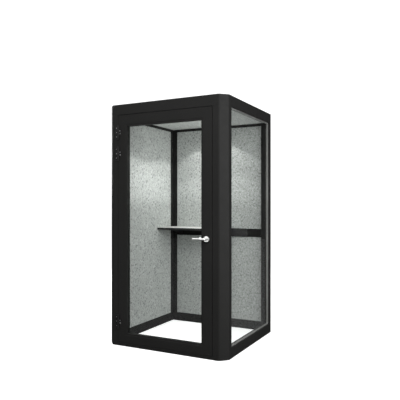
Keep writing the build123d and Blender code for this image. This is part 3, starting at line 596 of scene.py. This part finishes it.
def makeCeilingBoard():
    # the ceiling board has round holes for the lamps and square ones for the vents
    low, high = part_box("ceiling_felt")
    board = makeFeltBoard("ceiling_felt", 2, -1)
    piece = finishPiece(board, "ceiling_felt_board", wallFelt, "frame", ["ceiling_felt"])
    for canLow, canHigh in halfBoxes("lamp_cans"):
        middle, radius = (canLow + canHigh) / 2, (canHigh.x - canLow.x) / 2 - ceilingCut["lampTrim"]
        tool = bmesh.new()
        bmesh.ops.create_cone(tool, cap_ends=True, segments=ceilingCut["lampSides"], radius1=radius,
                              radius2=radius, depth=ceilingCut["lampDepth"])
        bmesh.ops.translate(tool, vec=(middle.x, middle.y, (low.z + high.z) / 2), verts=tool.verts)
        carve(piece, tool)
    half, past = ceilingCut["ductHalf"], ceilingCut["past"]
    for grilleLow, grilleHigh in halfBoxes("ceiling_vents"):
        middle = (grilleLow + grilleHigh) / 2
        tool = slab(Vector((middle.x - half, middle.y - half, low.z - past)),
                    Vector((middle.x + half, middle.y + half, high.z + past)))
        carve(piece, tool)


makeCeilingBoard()
print("stage: felt boards made")

# the door's seal: a flat flange on the stop with a rounded bulb towards the leaf
sealShape = {"width": 0.008, "flange": 0.35, "step": 0.0009, "round": 0.5, "segments": 5}


def raiseFaces(mesh, faces, lift, keepFirst):
    # walls are drawn out from the faces along Y, and the new faces at their ends are given back
    grown = bmesh.ops.extrude_face_region(mesh, geom=faces, use_keep_orig=True)
    ends = [g for g in grown["geom"] if isinstance(g, bmesh.types.BMFace)]
    bmesh.ops.translate(mesh, vec=(0, lift, 0), verts=list({v for f in ends for v in f.verts}))
    if not keepFirst:
        bmesh.ops.delete(mesh, geom=faces, context="FACES")
    return ends


def insetAll(mesh, faces, thickness):
    bmesh.ops.inset_region(mesh, faces=faces, thickness=thickness, use_boundary=True,
                           use_even_offset=True)


def makeDoorSeal():
    low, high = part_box("door_seal")
    depth = high.y - low.y
    mesh = bmesh.new()
    bmesh.ops.create_grid(mesh, x_segments=1, y_segments=1, size=0.5)
    bmesh.ops.rotate(mesh, matrix=Matrix.Rotation(math.radians(90), 3, "X"), verts=mesh.verts)
    bmesh.ops.scale(mesh, vec=(high.x - low.x, 1.0, high.z - low.z), verts=mesh.verts)
    bmesh.ops.translate(mesh, vec=((low.x + high.x) / 2, high.y, (low.z + high.z) / 2), verts=mesh.verts)
    middle = mesh.faces[:]
    insetAll(mesh, middle, sealShape["width"])
    bmesh.ops.delete(mesh, geom=middle, context="FACES_ONLY")
    flange = raiseFaces(mesh, mesh.faces[:], -depth * sealShape["flange"], True)
    insetAll(mesh, flange, sealShape["step"])
    bulb = raiseFaces(mesh, flange, -depth * (1 - sealShape["flange"]), False)
    mesh.normal_update()
    rims = {e for f in bulb for e in f.edges if any(other not in bulb for other in e.link_faces)}
    rollEdges(mesh, list(rims), depth * sealShape["round"], sealShape["segments"])
    finishPiece(mesh, "door_seal_strip", sealRubber, "frame", ["door_seal"])


makeDoorSeal()
print("stage: seal made")


def seenDirectly(tree):
    # 1 for what the eye sees, straight or through glass, and 0 in bounced light and reflections
    paths = tree.nodes.new("ShaderNodeLightPath").outputs
    straight = mathNode(tree, "MAXIMUM", paths["Is Camera Ray"], paths["Is Transmission Ray"])
    mirrored = mathNode(tree, "ADD", paths["Glossy Depth"], paths["Diffuse Depth"])
    return mathNode(tree, "MULTIPLY", straight, mathNode(tree, "LESS_THAN", mirrored, 0.5))


paleFloor = {"halfSize": 14.0, "seen": (0.8, 0.8, 0.8), "bounced": (0.3, 0.3, 0.3), "glow": 0.78}


def makeFloor():
    # brightened to the eye, and darker where it only throws light back
    mesh = bmesh.new()
    bmesh.ops.create_grid(mesh, x_segments=2, y_segments=2, size=paleFloor["halfSize"])
    data = bpy.data.meshes.new("floor")
    mesh.to_mesh(data)
    mesh.free()
    floor = placeObject("floor", data)
    floor.visible_glossy = False
    material, tree, shader = newMaterial("paleFloor", **{
        "Roughness": 0.9, "Specular IOR Level": 0.0, "Emission Color": (1, 1, 1, 1)})
    seen = seenDirectly(tree)
    join(tree, mathNode(tree, "MULTIPLY", seen, paleFloor["glow"]), shader.inputs["Emission Strength"])
    join(tree, mixColour(tree, seen, paleFloor["bounced"], paleFloor["seen"]), shader.inputs["Base Color"])
    data.materials.append(material)


makeFloor()

studio = {"seen": 1.3, "ambient": 0.66, "mirrored": 0.02, "overhead": 1.2, "rise": (0.30, 0.62)}


def makeWorld():
    # white to the eye, softer as a source of light, dim in mirror-like reflections
    world = bpy.data.worlds.new("studio")
    world.use_nodes = True
    bpy.context.scene.world = world
    tree = world.node_tree
    tree.nodes.clear()
    paths = tree.nodes.new("ShaderNodeLightPath").outputs
    parts = tree.nodes.new("ShaderNodeSeparateXYZ")
    join(tree, tree.nodes.new("ShaderNodeTexCoord").outputs["Generated"], parts.inputs[0])
    overhead = remap(tree, parts.outputs["Z"], studio["rise"], (studio["mirrored"], studio["overhead"]))
    bounced = mathNode(tree, "MAXIMUM", paths["Is Glossy Ray"], paths["Is Transmission Ray"])
    level = mixColour(tree, bounced, (studio["ambient"],) * 3, overhead)
    level = mixColour(tree, seenDirectly(tree), level, (studio["seen"],) * 3)
    background = addNode(tree, "ShaderNodeBackground", {"Strength": 1.0})
    join(tree, level, background.inputs["Color"])
    join(tree, background.outputs[0], tree.nodes.new("ShaderNodeOutputWorld").inputs["Surface"])


makeWorld()

# the fill and the handle's strip stand clear of the places that the panes mirror
softboxes = {
    "keySoftbox": {"place": (4.4, -2.4, 3.2), "target": (0, 0, 1.1), "size": (2.2, 2.2), "power": 120.0},
    "fillSoftbox": {"place": (-0.4, -4.6, 4.6), "target": (0, 0, 1.2), "size": (2.2, 2.2), "power": 80.0},
    "rearSoftbox": {"place": (-3.6, 3.0, 3.0), "target": (0, 0, 1.2), "size": (2.6, 2.6), "power": 170.0},
    "sideSoftbox": {"place": (4.3, -1.0, 1.0), "target": (0, 0.5, 0.8), "size": (1.6, 1.6), "power": 62.0},
    "handleStrip": {"place": (-1.48, -4.44, 0.9), "target": (0.44, -0.6, 1.05), "size": (0.14, 1.4),
                    "power": 14.0}}


def softbox(name, place, target, size, power):
    data = bpy.data.lights.new(name, "AREA")
    data.shape, data.size, data.size_y, data.energy = "RECTANGLE", size[0], size[1], power
    lamp = placeObject(name, data)
    lamp.location = place
    lamp.rotation_euler = (Vector(target) - Vector(place)).to_track_quat("-Z", "Y").to_euler()
    return lamp


for name, settings in softboxes.items():
    softbox(name, **settings)

ceilingLamp = {"cone": 118.0, "blend": 0.10, "radius": 0.035, "power": 15.0, "tone": (1.0, 0.995, 0.985),
               "below": 0.004}


def downlight(name, place):
    data = bpy.data.lights.new(name, "SPOT")
    data.spot_size, data.spot_blend = math.radians(ceilingLamp["cone"]), ceilingLamp["blend"]
    data.shadow_soft_size, data.energy = ceilingLamp["radius"], ceilingLamp["power"]
    data.color = ceilingLamp["tone"]
    placeObject(name, data).location = place


for index, (low, high) in enumerate(halfBoxes("lamp_cans")):
    middle = (low + high) / 2
    downlight(f"downlight{index}", (middle.x, middle.y, low.z - ceilingLamp["below"]))

glow = {"height": 1.32, "size": (0.8, 0.7), "power": 3.8}


def makeUpwardGlow():
    # light thrown back up from the pale floor and the desk, not seen itself
    low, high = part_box("ceiling_felt")
    middle = (low + high) / 2
    lamp = softbox("upwardGlow", (middle.x, middle.y, glow["height"]), (middle.x, middle.y, high.z),
                   glow["size"], glow["power"])
    lamp.visible_camera = lamp.visible_glossy = lamp.visible_transmission = False


makeUpwardGlow()

eye = {"place": (2.3786, -4.4448, 1.3472), "azimuth": 27.34, "sensor": 36.0, "lens": 44.79,
       "shift": 0.0113, "near": 0.05, "far": 60.0}


def makeCamera():
    data = bpy.data.cameras.new("camera")
    data.sensor_width, data.lens, data.shift_y = eye["sensor"], eye["lens"], eye["shift"]
    data.clip_start, data.clip_end = eye["near"], eye["far"]
    camera = placeObject("camera", data)
    camera.location = eye["place"]
    camera.rotation_euler = (math.radians(90), 0, math.radians(eye["azimuth"]))
    bpy.context.scene.camera = camera


makeCamera()
bpy.context.scene.view_settings.view_transform = "Standard"
print("stage: floor, light and camera placed")
